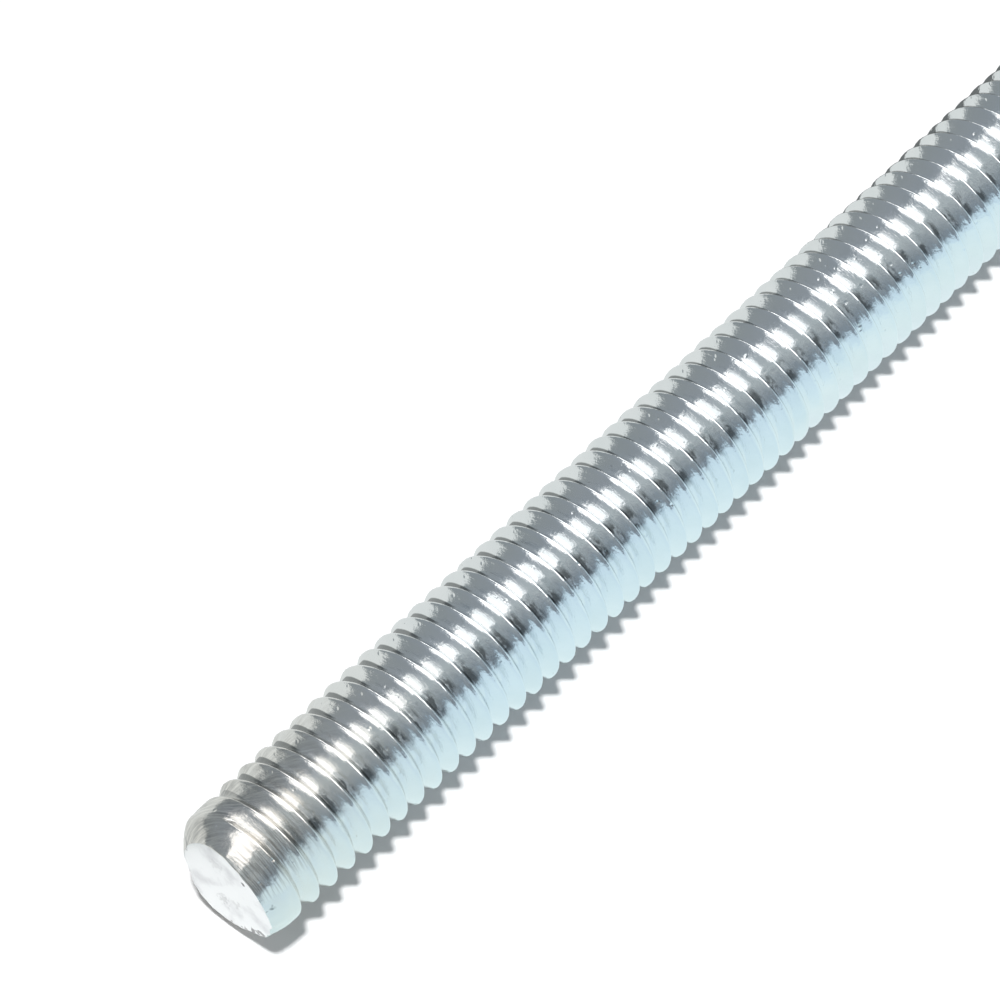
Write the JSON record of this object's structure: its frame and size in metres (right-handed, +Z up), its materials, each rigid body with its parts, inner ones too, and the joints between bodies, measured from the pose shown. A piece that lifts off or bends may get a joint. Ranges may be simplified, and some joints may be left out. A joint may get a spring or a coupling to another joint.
{
  "type": "threaded rod",
  "caption": "Straight steel rod with a full-length right-hand metric thread, flat cut ends and rounded lead-ins, for nuts and tapped holes.",
  "frame": {"origin": "centre of the near end face, on the rod's axis", "axes": "+X along the rod's axis towards the far end; +Z up as the rod lies"},
  "size_m": [0.07, 0.006, 0.006],
  "materials": {
    "zinc_steel": "bright zinc plate over rolled steel, glossy with fine rolling marks"
  },
  "bodies": {
    "root": {"threaded_rod": "zinc_steel"}
  },
  "joints": []
}
